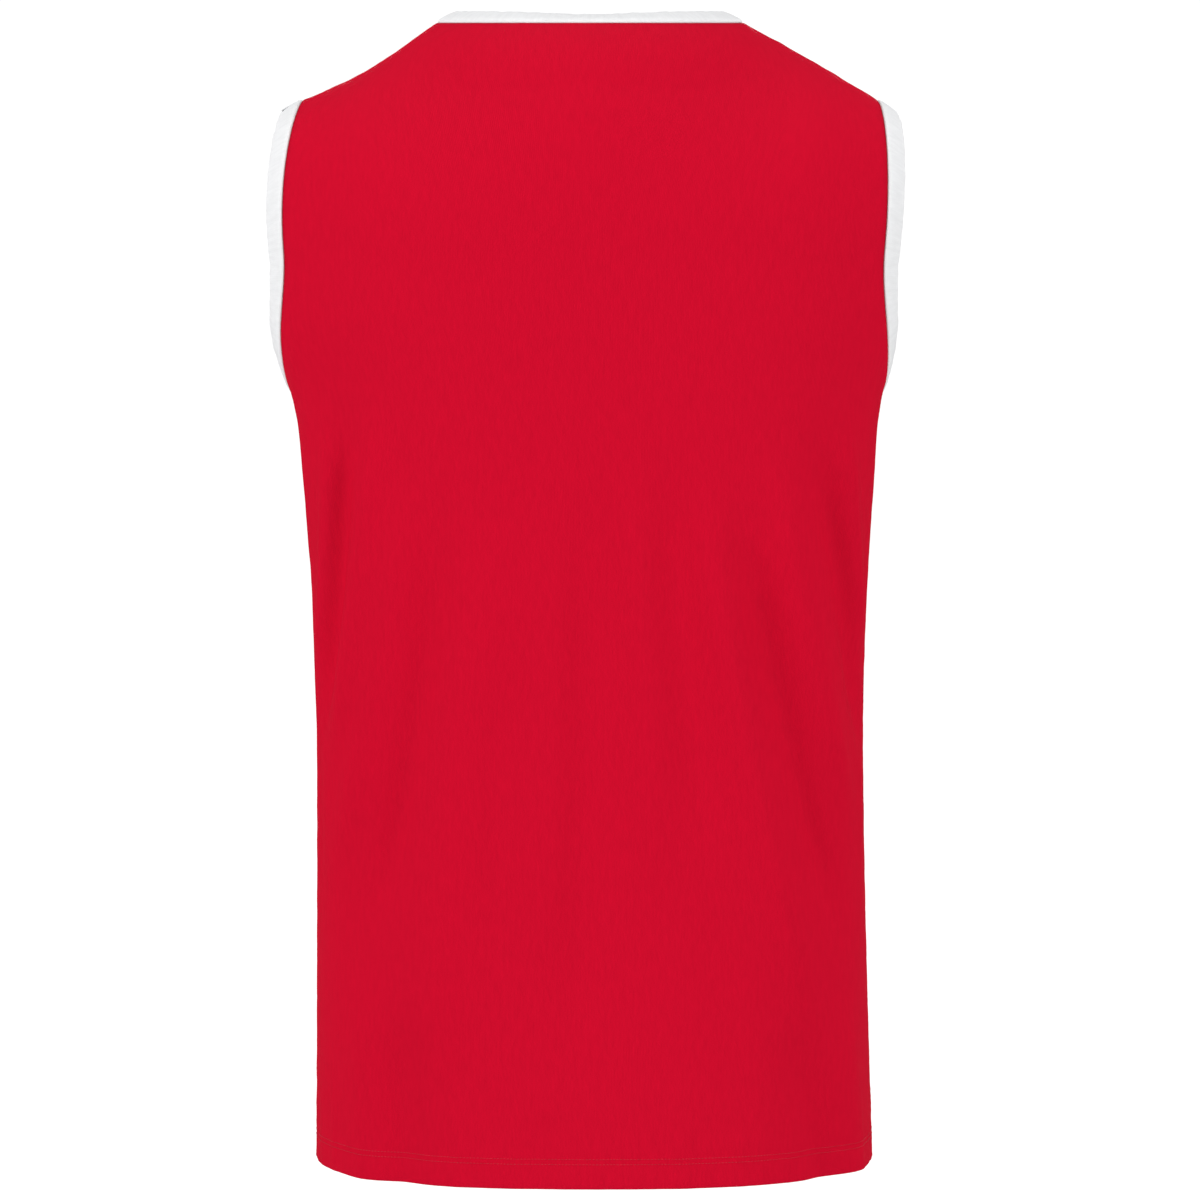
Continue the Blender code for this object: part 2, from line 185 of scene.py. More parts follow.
def soft_box(box):
    """A large square lamp that stands to one side and looks at the shirt."""
    lamp = bpy.data.lights.new(box.name, "AREA")
    lamp.energy = box.power
    lamp.size = BOX_SIZE
    stand = bpy.data.objects.new(box.name, lamp)
    turn = math.radians(box.round_from_back)
    place = Vector((BOX_DISTANCE * math.sin(turn), BOX_DISTANCE * math.cos(turn), box.height))
    stand.location = place
    stand.rotation_euler = (BOX_AIM - place).to_track_quat("-Z", "Y").to_euler()
    stand.visible_camera = False
    bpy.context.scene.collection.objects.link(stand)


overhead_light()
for box in SOFT_BOXES:
    soft_box(box)
print("lights: overhead,", ", ".join(box.name for box in SOFT_BOXES))

# %% Floor
FLOOR_DROP = 1.45
FLOOR_HALF = 30.0
FLOOR_TONE = (0.45, 0.45, 0.45, 1.0)
FLOOR_ROUGHNESS = 0.9
FLOOR_LIFT = 0.8


def pale_floor():
    """A large pale floor, as far below the shirt as the floor is below a wearer's shoulders."""
    bm = bmesh.new()
    bmesh.ops.create_grid(bm, x_segments=1, y_segments=1, size=FLOOR_HALF)
    bmesh.ops.translate(bm, vec=(0.0, 0.0, -FLOOR_DROP), verts=bm.verts)
    floor = new_object("studio_floor", bm)
    paint, tree, shader = new_material("pale_floor", FLOOR_ROUGHNESS)
    shader.inputs["Base Color"].default_value = FLOOR_TONE
    shader.inputs["Emission Color"].default_value = PLAIN_WHITE
    path = tree.nodes.new("ShaderNodeLightPath")
    lift = tree.nodes.new("ShaderNodeMapRange")
    lift.inputs["To Max"].default_value = FLOOR_LIFT
    tree.links.new(path.outputs["Is Camera Ray"], lift.inputs["Value"])
    tree.links.new(lift.outputs["Result"], shader.inputs["Emission Strength"])
    floor.data.materials.append(paint)
    floor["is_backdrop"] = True


pale_floor()
print(f"floor {FLOOR_DROP} m below the shoulders")

# %% [markdown]
# ## The figure under the cloth
#
# The shirt hangs on a plain general figure, given by a few level sections from the hem up to the
# shoulder blades, and by the neck line and the shoulder seams above them. The same figure shapes
# the CAD model. It could be sculpted or lofted by hand. Written as a function of two numbers it can
# be sampled as finely as the cloth needs, and it is smooth at any resolution. u says how far round
# a point lies, from 0 at the panel's middle to 1 at the side seam. w is the height up to the
# shoulder blades, and then runs on to 0 at the neck line and the shoulder seam.

# %% Sizes of the figure
HEM_HEIGHT = -705.0
UNDERARM_HEIGHT = -240.0
BLADE_HEIGHT = -150.0
HALF_BACK = 258.0
SECTION_STEPS = 721
PINCH_REACH = 26.0
NECK_HALF_WIDTH = 95.0
SHOULDER_TIP_OUT = 180.0
SHOULDER_TIP_DROP = 49.0
LEFT_SHOULDER_HOLLOW = 4.5
RIGHT_SHOULDER_HOLLOW = -1.0
# Where, in u, the cloth starts to turn from the neck's direction to the shoulder seam's, and over
# how long. The corner between them is felt less and less further down the cloth.
CORNER_START = 0.28
CORNER_LENGTH = 0.65
CORNER_SPREAD = 0.2
CORNER_FADE = 0.4
CORNER_SHARES = np.linspace(-1.0, 1.0, 9)
# How the cloth leans in and up at the side of the neck, how full the upper back and chest are, and
# the step that measures their slope at the shoulder blades.
SIDE_LEAN = (0.6, 0.37)
FULLNESS = 1.15
SLOPE_STEP = 5.0

# Level sections, from the hem up. Square is the power of the section's rounded box, sway its shift
# to the wearer's left, pinch how far the side seam draws in.
Section = namedtuple("Section", "z half_width back front back_square front_square sway pinch")
SECTIONS = (
    Section(-705.0, 172.4, 128.5, 122.0, 2.5, 2.5, -2.8, 0.0),
    Section(-600.0, 170.6, 124.0, 120.0, 2.7, 2.6, -1.4, 0.0),
    Section(-500.0, 169.6, 121.0, 118.5, 2.75, 2.6, -0.4, 0.5),
    Section(-424.0, 169.9, 119.0, 118.5, 2.8, 2.6, 0.0, 1.5),
    Section(-349.0, 173.1, 118.0, 120.0, 2.8, 2.6, 0.1, 3.5),
    Section(-290.0, 178.0, 117.5, 122.0, 2.8, 2.6, 0.7, 6.0),
    Section(-240.0, 183.6, 118.0, 123.0, 2.8, 2.5, 1.6, 8.0),
    Section(-195.0, 199.5, 119.0, 120.0, 2.6, 2.4, 3.5, 6.0),
    Section(-150.0, 211.0, 119.5, 113.0, 2.3, 2.2, 3.3, 0.0),
)

# What sets the two panels apart. Facing is the side of the figure, along Y. The neck's depth and
# drop are those of its middle, its power how slowly the drop starts at the shoulder, and its lean
# the way the cloth points at its middle, inwards and up. The seam's lean is how far the cloth still
# rises as it reaches the shoulder seam. The neck's and the tip's shares say where, between the
# panel's middle and its side, the neck ends and the shoulder's tip lies.
Panel = namedtuple(
    "Panel", "name facing neck_depth neck_drop neck_power neck_lean seam_lean neck_share tip_share"
)
BACK = Panel("back_panel", 1.0, 68.0, 12.9, 1.0, (0.85, 0.53), 0.22, 0.40, 0.71)
FRONT = Panel("front_panel", -1.0, 80.0, 88.0, 1.6, (0.62, 0.78), 0.3, 0.40, 0.655)
print(f"{len(SECTIONS)} sections, {HEM_HEIGHT} to {BLADE_HEIGHT} mm")

# %% Helpers for smooth shapes
def unit(vectors):
    """Vectors of length one, along the last axis."""
    return vectors / np.linalg.norm(vectors, axis=-1, keepdims=True)


def ease(t):
    """Rise smoothly from 0 to 1 while t runs from 0 to 1."""
    t = np.clip(t, 0.0, 1.0)
    return t * t * (3.0 - 2.0 * t)


def hermite(start, leave, end, arrive, t):
    """The cubic from start to end with the given directions at both ends."""
    t2 = t * t
    t3 = t2 * t
    place = (2.0 * t3 - 3.0 * t2 + 1.0) * start + (3.0 * t2 - 2.0 * t3) * end
    return place + (t3 - 2.0 * t2 + t) * leave + (t3 - t2) * arrive


def walk_along(line):
    """How far along a line each of its points lies."""
    steps = np.linalg.norm(np.diff(line, axis=0), axis=1)
    return np.concatenate([[0.0], np.cumsum(steps)])


print("ease at a quarter and at a half:", ease(0.25), ease(0.5))

# %% The figure below the shoulder blades
def section_outline(panel, section, u):
    """One level section of the figure: evenly walked, u is 0 at its middle and 1 at its side."""
    facing_back = panel.facing > 0.0
    power = 2.0 / (section.back_square if facing_back else section.front_square)
    depth = section.back if facing_back else section.front
    angles = np.linspace(0.0, math.pi / 2.0, SECTION_STEPS)
    out = section.half_width * np.sin(angles) ** power
    deep = depth * np.cos(angles) ** power
    walked = walk_along(np.stack([out, deep], axis=-1))
    angle = np.interp(np.abs(u) * walked[-1], walked, angles)
    from_seam = (1.0 - np.abs(u)) * HALF_BACK / PINCH_REACH
    x = section.half_width * np.sin(angle) ** power - section.pinch * np.exp(-from_seam * from_seam)
    y = depth * np.abs(np.cos(angle)) ** power
    return np.stack([np.sign(u) * x + section.sway, panel.facing * y], axis=-1)


def torso(panel, u, z):
    """Points on the figure below the shoulder blades, on a smooth loft through the sections."""
    heights = np.array([section.z for section in SECTIONS])
    outlines = np.array([section_outline(panel, section, u) for section in SECTIONS])
    slopes = np.gradient(outlines, heights, axis=0)
    below = np.clip(np.searchsorted(heights, z) - 1, 0, len(heights) - 2)
    span = (heights[below + 1] - heights[below])[..., None]
    t = ((z - heights[below])[..., None]) / span
    pick = below[None, ..., None]
    low, leave = (np.take_along_axis(grid, pick, axis=0)[0] for grid in (outlines, slopes))
    high, arrive = (np.take_along_axis(grid, pick + 1, axis=0)[0] for grid in (outlines, slopes))
    flat = hermite(low, leave * span, high, arrive * span, t)
    return np.concatenate([flat, z[..., None]], axis=-1)


underarm_side = torso(BACK, np.array([1.0]), np.array([UNDERARM_HEIGHT]))[0]
print("side seam at the underarm:", underarm_side.round(1).tolist(), "mm")

# %% The figure above the shoulder blades
def top_edge(panel, u):
    """Points of the neck edge and the shoulder seam, which runs on past the shoulder's tip."""
    side = np.where(u < 0.0, -1.0, 1.0)
    share = np.abs(u)
    turn = np.clip(share / panel.neck_share, 0.0, 1.0) * math.pi / 2.0
    forward = np.cos(turn)
    along = np.clip((share - panel.neck_share) / (panel.tip_share - panel.neck_share), 0.0, None)
    depth = np.where(side > 0.0, LEFT_SHOULDER_HOLLOW, RIGHT_SHOULDER_HOLLOW)
    hollow = depth * np.sin(math.pi * np.clip(along, 0.0, 1.0))
    x = side * (NECK_HALF_WIDTH * np.sin(turn) + (SHOULDER_TIP_OUT - NECK_HALF_WIDTH) * along)
    y = panel.facing * panel.neck_depth * forward
    z = -panel.neck_drop * forward**panel.neck_power - SHOULDER_TIP_DROP * along - hollow
    return np.stack([x, y, z], axis=-1)


def top_direction(panel, u):
    """The way the cloth points as it reaches the neck edge or the shoulder seam."""
    side = np.where(u < 0.0, -1.0, 1.0)
    turn = np.clip(np.abs(u) / panel.neck_share, 0.0, 1.0) * math.pi / 2.0
    lean_in, lean_up = panel.neck_lean
    inwards = -side * SIDE_LEAN[0] * np.sin(turn)
    level = -panel.facing * lean_in * np.cos(turn)
    upwards = lean_up * np.cos(turn) + SIDE_LEAN[1] * np.sin(turn)
    to_neck = unit(np.stack([inwards, level, upwards], axis=-1))
    to_seam = unit(np.array([0.0, -panel.facing, panel.seam_lean]))
    blend = ease((np.abs(u) - panel.neck_share + CORNER_START) / CORNER_LENGTH)[..., None]
    return unit((1.0 - blend) * to_neck + blend * to_seam)


def eased_edge(panel, u, v):
    """The top edge as the cloth below it feels it, with its corner at the neck ever softer."""
    spread = CORNER_SPREAD * np.clip((1.0 - v) / CORNER_FADE, 0.0, 1.0)
    return sum(top_edge(panel, u + share * spread) for share in CORNER_SHARES) / len(CORNER_SHARES)


def yoke(panel, u, v):
    """Points on the figure above the shoulder blades. v is 0 there and 1 at the top edge."""
    level = np.full_like(u, BLADE_HEIGHT)
    start = torso(panel, u, level)
    leave = unit(start - torso(panel, u, level - SLOPE_STEP))
    end = eased_edge(panel, u, v)
    reach = FULLNESS * np.linalg.norm(end - start, axis=-1, keepdims=True)
    return hermite(start, leave * reach, end, top_direction(panel, u) * reach, v[..., None])


def figure(panel, u, w):
    """Points on the figure: w is the height up to the shoulder blades, and 0 at the top edge."""
    low = torso(panel, u, np.minimum(w, BLADE_HEIGHT))
    high = yoke(panel, u, np.clip(1.0 - w / BLADE_HEIGHT, 0.0, 1.0))
    return np.where((w <= BLADE_HEIGHT)[..., None], low, high)


neck_middle = figure(BACK, np.array([0.0]), np.array([0.0]))[0]
print("middle of the back neck:", neck_middle.round(1).tolist(), "mm")

# %% [markdown]
# ## Folds and creases
#
# The jersey falls in long shallow folds from below the shoulder blades to the waist, steeper at
# the sides, and the upper back is smooth. Cloth simulation would make folds of its own choosing.
# These were read off the photograph one by one, so each is a row in a table: where it lies, how
# wide it is and how far it lifts or lowers the cloth. The large ones are in the CAD model too. The
# creases in the second table are finer, and show only in this model.

# %% The large folds
# How far out from the panel's middle a fold lies, towards the wearer's left, at its top, middle and
# foot, the heights of its top and foot, its half width, and how far it lifts the cloth.
Fold = namedtuple("Fold", "out_top out_middle out_foot top foot half_width lift")
BACK_FOLDS = (
    Fold(168, 181, 211, -240, -425, 9, 3.9),
    Fold(150, 169, 204, -240, -460, 10, -5.4),
    Fold(134, 151, 180, -230, -468, 12, 5.7),
    Fold(116, 139, 178, -285, -535, 14, 4.2),
    Fold(90, 111, 147, -285, -575, 12, -5.1),
    Fold(62, 86, 108, -300, -690, 25, 4.4),
    Fold(22, 20, 30, -280, -600, 12, 2.4),
    Fold(-8, -2, 0, -265, -680, 25, -3.2),
    Fold(-25, -33, -42, -265, -560, 13, 3),
    Fold(-50, -59, -80, -260, -530, 12, -3.9),
    Fold(-68, -101, -148, -280, -630, 13, 5.2),
    Fold(-91, -128, -176, -285, -580, 12, -6),
    Fold(-115, -145, -190, -262, -510, 13, 5.2),
    Fold(-141, -174, -214, -250, -470, 12, -5.8),
    Fold(-166, -181, -206, -240, -400, 9, 3.8),
    Fold(121, 122, 124, -600, -760, 14, -3.6),
    Fold(146, 148, 152, -570, -790, 18, 3.2),
    Fold(-130, -146, -174, -600, -770, 14, -3.8),
    Fold(-172, -184, -204, -590, -790, 15, 3.2),
)
FRONT_FOLDS = (
    Fold(180, 186, 200, -232, -395, 10, 3.2),
    Fold(152, 161, 176, -225, -450, 12, -4.3),
    Fold(126, 140, 165, -240, -500, 13, 3.5),
    Fold(100, 118, 138, -290, -590, 13, -3.8),
    Fold(62, 80, 104, -300, -650, 16, 3.2),
    Fold(22, 16, 30, -330, -690, 20, -3.4),
    Fold(-20, -34, -44, -300, -600, 15, 3),
    Fold(-62, -82, -108, -310, -640, 14, -4),
    Fold(-98, -116, -141, -285, -560, 13, 4),
    Fold(-130, -150, -172, -245, -480, 11, -5),
    Fold(-166, -178, -196, -230, -385, 10, 3.5),
    Fold(138, 139, 138, -610, -770, 16, -3),
    Fold(-146, -148, -147, -590, -780, 17, 3),
)
print(len(BACK_FOLDS), "folds on the back,", len(FRONT_FOLDS), "on the front")

# %% The fine creases
BACK_CREASES = (
    Fold(205, 212, 222, -262, -350, 5, 0.7),
    Fold(214, 205, 199, -420, -560, 7, -0.8),
    Fold(222, 214, 210, -330, -520, 7, 0.8),
    Fold(66, 58, 60, -380, -600, 8, -0.8),
    Fold(52, 48, 54, -430, -560, 6, 0.6),
    Fold(-2, -6, 4, -470, -660, 8, 0.8),
    Fold(-70, -82, -96, -520, -680, 9, -0.9),
    Fold(-200, -208, -220, -300, -430, 6, -0.8),
    Fold(-212, -204, -198, -430, -590, 7, 0.8),
    Fold(84, 86, 84, -640, -740, 8, 0.8),
    Fold(30, 31, 30, -650, -745, 9, -0.7),
    Fold(-52, -53, -52, -640, -750, 9, 0.8),
    Fold(-92, -92, -91, -660, -740, 7, 0.6),
)
FRONT_CREASES = (
    Fold(208, 214, 224, -258, -360, 6, -0.8),
    Fold(216, 208, 204, -430, -580, 7, 0.8),
    Fold(44, 52, 60, -400, -560, 8, -0.9),
    Fold(-4, 2, -6, -440, -640, 9, 0.8),
    Fold(-46, -58, -66, -470, -620, 8, 0.9),
    Fold(-202, -210, -220, -290, -440, 7, 0.8),
    Fold(-216, -206, -200, -450, -600, 7, -0.8),
    Fold(74, 75, 74, -640, -745, 9, -0.8),
    Fold(-78, -79, -78, -645, -750, 10, 0.8),
)
FOLDS = {BACK.name: BACK_FOLDS + BACK_CREASES, FRONT.name: FRONT_FOLDS + FRONT_CREASES}
print({name: len(folds) for name, folds in FOLDS.items()}, "folds and creases")

# %% How folds lift the cloth
FOLD_TAPER = 0.3


def fold_lift(panel, u, w):
    """How far the panel's folds push the cloth out, or let it in, at each point."""
    out = u * HALF_BACK
    lift = np.zeros_like(u)
    for fold in FOLDS[panel.name]:
        t = (fold.top - w) / (fold.top - fold.foot)
        bow = fold.out_middle - (fold.out_top + fold.out_foot) / 2.0
        middle = fold.out_top + (fold.out_foot - fold.out_top) * t + 4.0 * bow * t * (1.0 - t)
        across = (out - middle) / fold.half_width
        taper = ease(t / FOLD_TAPER) * ease((1.0 - t) / FOLD_TAPER)
        lift += fold.lift * np.exp(-across * across) * taper
    return lift


waist_lift = fold_lift(BACK, np.array([0.5]), np.array([-450.0]))[0]
print(f"lift at the waist, halfway to the wearer's left side seam: {waist_lift:.1f} mm")

# %% [markdown]
# ## The flat pattern pieces
#
# A panel is cut flat. Its outline goes up the side seam, round the armhole and along the shoulder
# and the neck, and its inside is plain cloth. So each panel starts as one flat grid operator, whose
# points are moved first into the pattern piece and then onto the figure. Lofting the shell from
# rings instead would leave the armholes to be cut out with Booleans, with a ragged edge. The rows
# and columns are packed close beside each sewn edge, where the cloth rolls into its seam, and
# the first rows are the hem allowance, turned up inside.

# %% The pattern
CLOTH_STEP = 3.6
HEM_TURN = 18.0
HEM_ROWS = round(HEM_TURN / CLOTH_STEP)
HEM_RADIUS = 0.7
RELAX_ROUNDS = 150
# Where extra rows and columns lie beside a sewn edge, as shares of the first step from it.
NEAR_EDGE = (0.13, 0.34, 0.64)


def packed(count, start, end):
    """Even stations from 0 to count, packed close together at the ends that are named."""
    stations = list(range(count + 1))
    if start:
        stations += list(NEAR_EDGE)
    if end:
        stations += [count - share for share in NEAR_EDGE]
    return np.array(sorted(stations), float)


def resample(grid, rows, columns):
    """The grid's values at in-between rows and columns."""
    counts = [np.arange(size) for size in grid.shape]
    across = np.array([np.interp(columns, counts[1], line) for line in grid])
    return np.array([np.interp(rows, counts[0], line) for line in across.T]).T


def panel_edge(panel):
    """u and w along a panel's side: the seam from the hem up, the armhole, then to the tip."""
    foot = HEM_HEIGHT + HEM_RADIUS
    seam = np.linspace(foot, UNDERARM_HEIGHT, round((UNDERARM_HEIGHT - foot) / CLOTH_STEP) + 1)
    turn_rows = round((BLADE_HEIGHT - UNDERARM_HEIGHT) * math.pi / 2.0 / CLOTH_STEP)
    turn = np.linspace(0.0, math.pi / 2.0, turn_rows + 1)[1:]
    scoop_u = 1.0 - (1.0 - panel.tip_share) * np.sin(turn)
    scoop_w = UNDERARM_HEIGHT + (BLADE_HEIGHT - UNDERARM_HEIGHT) * (1.0 - np.cos(turn))
    top = np.linspace(BLADE_HEIGHT, 0.0, round(-BLADE_HEIGHT / CLOTH_STEP) + 1)[1:]
    edge_u = np.concatenate([np.ones(len(seam)), scoop_u, np.full(len(top), panel.tip_share)])
    return edge_u, np.concatenate([seam, scoop_w, top]), len(seam) - 1


def pattern(panel):
    """A panel's outer face as grids of u and w, with its underarm's row and its neck columns."""
    edge_u, edge_w, underarm = panel_edge(panel)
    half = round(HALF_BACK / CLOTH_STEP)
    even = np.arange(half + 1) / half
    above_hem = np.linspace(edge_w[HEM_ROWS], 0.0, len(edge_w) - HEM_ROWS)[1:]
    middle_w = np.concatenate([edge_w[: HEM_ROWS + 1], above_hem])
    corner = round(half * panel.neck_share / panel.tip_share)
    neck = panel.neck_share * np.arange(corner + 1) / corner
    shoulder = np.linspace(panel.neck_share, panel.tip_share, half - corner + 1)[1:]
    top_row = np.concatenate([neck, shoulder]) / panel.tip_share
    rise = ease((edge_w - UNDERARM_HEIGHT) / -UNDERARM_HEIGHT)[:, None]
    left_u = edge_u[:, None] * ((1.0 - rise) * even + rise * top_row)
    left_w = middle_w[:, None] + (edge_w - middle_w)[:, None] * even**2
    u = np.concatenate([-left_u[:, :0:-1], left_u], axis=1)
    w = np.concatenate([left_w[:, :0:-1], left_w], axis=1)
    for _ in range(RELAX_ROUNDS):
        for grid in (u, w):
            around = grid[:-2, 1:-1] + grid[2:, 1:-1] + grid[1:-1, :-2] + grid[1:-1, 2:]
            grid[HEM_ROWS + 1 : -1, 1:-1] = around[HEM_ROWS:] / 4.0
    rows = packed(u.shape[0] - 1, False, True)
    columns = packed(u.shape[1] - 1, True, True)
    extra = len(NEAR_EDGE)
    neck_columns = (half - corner + extra, half + corner + extra)
    return resample(u, rows, columns), resample(w, rows, columns), underarm, neck_columns


def outward(points, facing):
    """The way out of the cloth at each point of a grid."""
    along = np.gradient(points, axis=1)
    up = np.gradient(points, axis=0)
    return unit(np.cross(up, along)) * facing


print("half a panel:", round(HALF_BACK / CLOTH_STEP), "steps wide, its hem:", HEM_ROWS, "rows")

# %% [markdown]
# ## Cloth on the figure
#
# Each pattern piece is wrapped on the figure, and the folds move it along its own normal. Where it
# is sewn, the last two millimetres roll inwards, so that a seam reads as a soft groove. Beside the
# seams the cloth is drawn in by the thread and puckers a little. This could be a bump map, but
# real grooves also catch the light from the side and stay in the exported mesh.

# %% Rolled edges and puckers
ROLL_REACH = 2.3
ROLL_DEPTH = 1.1
PUCKER_REACH = 9.0
PUCKER_LIFT = 0.16
# The lengths of three waves that never fall in step. Each one's length also shifts its start.
PUCKER_WAVES = (11.0, 17.0, 26.0)
HEM_RIPPLE = 0.14
HEM_RIPPLE_REACH = 26.0


def gap_to_edges(points):
    """How far each point lies from the nearest of the side edges and the top edge."""
    left = np.linalg.norm(points - points[:, :1], axis=-1)
    right = np.linalg.norm(points - points[:, -1:], axis=-1)
    top = np.linalg.norm(points - points[-1:], axis=-1)
    return np.minimum(np.minimum(left, right), top)


def roll_in(gap):
    """How far the cloth turns inwards at a distance from its seam."""
    share = np.clip(1.0 - gap / ROLL_REACH, 0.0, 1.0)
    return ROLL_DEPTH * (1.0 - np.sqrt(1.0 - share * share))


def pucker(gap, walk):
    """The small waves that a seam's thread draws into the cloth beside it."""
    waves = sum(np.sin(2.0 * math.pi * walk / length + length) for length in PUCKER_WAVES)
    near = (gap / PUCKER_REACH) * np.exp(1.0 - gap / PUCKER_REACH)
    return PUCKER_LIFT * waves * near * ease(gap / ROLL_REACH)


def hem_ripple(out, w):
    """Shallow upright ripples where the hem's stitches draw the cloth together."""
    waves = sum(np.sin(2.0 * math.pi * out / length + 2.0 * length) for length in PUCKER_WAVES)
    above = np.abs(w - HEM_HEIGHT - HEM_TURN) / HEM_RIPPLE_REACH
    return HEM_RIPPLE * waves * np.exp(-above * above)


print(f"one millimetre from its seam the cloth dips {roll_in(1.0):.2f} mm")

# %% The two outer faces
# How far the painted seam shade reaches: the red painted darker, the white painted paler (painted
# light).
SEAM_SHADE_REACH = 1.2
Walls = namedtuple("Walls", "outer out u w underarm neck_columns seam_near")


def panel_walls(panel):
    """The outer face of one panel on the figure, with its folds and its rolled edges."""
    u, w, underarm, neck_columns = pattern(panel)
    points = figure(panel, u, w)
    lift = fold_lift(panel, u, w) + hem_ripple(u * HALF_BACK, w)
    points = points + outward(points, panel.facing) * lift[..., None]
    # The side seams and the shoulder seams lie on the plane that parts the back from the front.
    side, top = slice(0, underarm + 1), slice(-1, None)
    sewn = [(side, slice(0, 1)), (side, slice(-1, None))]
    sewn += [(top, slice(0, neck_columns[0] + 1)), (top, slice(neck_columns[1], None))]
    for rows, columns in sewn:
        points[rows, columns, 1] = 0.0
    out = outward(points, panel.facing)
    for rows, columns in sewn:
        out[rows, columns, 1] = 0.0
    out = unit(out)
    gap = gap_to_edges(points)
    outer = points + out * (pucker(gap, u * HALF_BACK + w) - roll_in(gap))[..., None]
    # The weight of the painted seam shade, highest at the seam.
    seam_near = np.exp(-gap / SEAM_SHADE_REACH)
    return Walls(outer, out, u, w, underarm, neck_columns, seam_near)


walls = {panel.name: panel_walls(panel) for panel in (BACK, FRONT)}
for name, wall in walls.items():
    print(name, "grid", wall.outer.shape[:2])

# %% [markdown]
# ## Grids into cloth
#
# A mesh can be built from lists of points and faces. Here Blender's grid operator makes the faces,
# so none can be missed or turned over, and this helper moves each of its points to its place. It
# also gives every face corner its place on the flat cloth as a UV, in metres, so that the knit
# follows the cloth over every fold at its real size. The grid is the outer face of the cloth, and
# the Solidify modifier gives it its half millimetre of thickness inwards.

# %% From a grid of points to a piece of cloth
CLOTH_THICKNESS = 0.55
WELD_DISTANCE = 0.01


def cloth_grid(name, points, flat, near, flip, closed=False):
    """Cloth from grids of its points, their flat places and how near each is to a seam, for the
    painted seam shade.
    """
    rows, columns = points.shape[:2]
    bm = bmesh.new()
    bmesh.ops.create_grid(bm, x_segments=columns - 1, y_segments=rows - 1, size=1.0)
    uv_layer = bm.loops.layers.uv.new("flat_cloth")
    painted_seam_shade_layer = bm.verts.layers.float.new("seam_near")
    place = {}
    for vertex in bm.verts:
        column = round((vertex.co.x + 1.0) / 2.0 * (columns - 1))
        row = round((vertex.co.y + 1.0) / 2.0 * (rows - 1))
        place[vertex] = (row, column)
    for face in bm.faces:
        for loop in face.loops:
            loop[uv_layer].uv = flat[place[loop.vert]] * MM
    for vertex, spot in place.items():
        vertex.co = points[spot] * MM
        vertex[painted_seam_shade_layer] = near[spot]
    if closed:
        bmesh.ops.remove_doubles(bm, verts=bm.verts, dist=WELD_DISTANCE * MM)
    if flip:
        bmesh.ops.reverse_faces(bm, faces=bm.faces)
    piece = new_object(name, bm)
    piece.data.shade_smooth()
    thick = piece.modifiers.new("thickness", "SOLIDIFY")
    thick.thickness = CLOTH_THICKNESS * MM
    thick.offset = -1.0
    return piece


print("cloth is", CLOTH_THICKNESS, "mm thick")

# %% The turned hem
TURN_STEPS = 6


def with_turned_hem(wall):
    """The panel's grid with its hem allowance, which goes round the edge and up inside."""
    raw = np.linspace(HEM_HEIGHT + HEM_TURN, HEM_HEIGHT + HEM_RADIUS, HEM_ROWS + 1)
    turn = np.linspace(0.0, math.pi, TURN_STEPS + 1)[1:-1]
    heights = np.concatenate([raw, HEM_HEIGHT + HEM_RADIUS * (1.0 - np.sin(turn))])
    doubled = np.full(len(raw), 2.0 * HEM_RADIUS)
    insets = np.concatenate([doubled, HEM_RADIUS * (1.0 + np.cos(turn))])
    first = wall.outer[0]
    level_out = unit(wall.out[0] * np.array([1.0, 1.0, 0.0]))
    climb = wall.outer[HEM_ROWS] - first
    climb = climb / climb[:, 2:]
    hem = []
    for height, inset in zip(heights, insets):
        rise = height - HEM_HEIGHT - HEM_RADIUS
        hem.append(first + climb * rise - level_out * inset)
    points = np.concatenate([np.array(hem), wall.outer])
    cut = HEM_HEIGHT - np.abs(heights - HEM_HEIGHT)
    flat_hem = np.stack(np.broadcast_arrays(wall.u[:1] * HALF_BACK, cut[:, None]), axis=-1)
    flat = np.concatenate([flat_hem, np.stack([wall.u * HALF_BACK, wall.w], axis=-1)])
    near = np.concatenate([np.zeros((len(hem), points.shape[1])), wall.seam_near])
    return points, flat, near


print("the hem is turned up by", HEM_TURN, "mm")

# %% The two panels
def panel_piece(panel):
    """One red panel, with its hem turned up inside."""
    points, flat, near = with_turned_hem(walls[panel.name])
    piece = cloth_grid(panel.name + "_jersey", points, flat, near, flip=panel.facing > 0.0)
    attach(piece, "root")
    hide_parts(panel.name)
    return piece


back_jersey = panel_piece(BACK)
front_jersey = panel_piece(FRONT)
print("panel faces:", len(back_jersey.data.polygons), "and", len(front_jersey.data.polygons))

# %% [markdown]
# ## The bands
#
# A band is a strip of white jersey folded in two along its length, with both raw edges sewn into
# the seam round the neck or the armhole. A curve with a bevel could make such a loop, but its flat
# section would twist at the shoulder. Here the strip is again a grid, with one edge on the panels'
# own sewn points, so it can't part from them: up the outer face, round the fold at the free edge,
# and back down the inner face.

# %% Band sizes and section
BAND_WIDTH = 14.0
# How far the band's face stands above its seam, how much it crowns in the middle, and how far and
# how late its free edge curls in.
BAND_PROUD = 0.4
BAND_CROWN = 0.25
BAND_CURL = 1.5
BAND_CURL_POWER = 1.6
BAND_HALF_WALL = 0.85
BAND_FOLD_STEPS = 6
BAND_FACE_SHARES = (0.0, 0.03, 0.07, 0.14, 0.25, 0.38, 0.52, 0.66, 0.8, 0.9, 1.0)


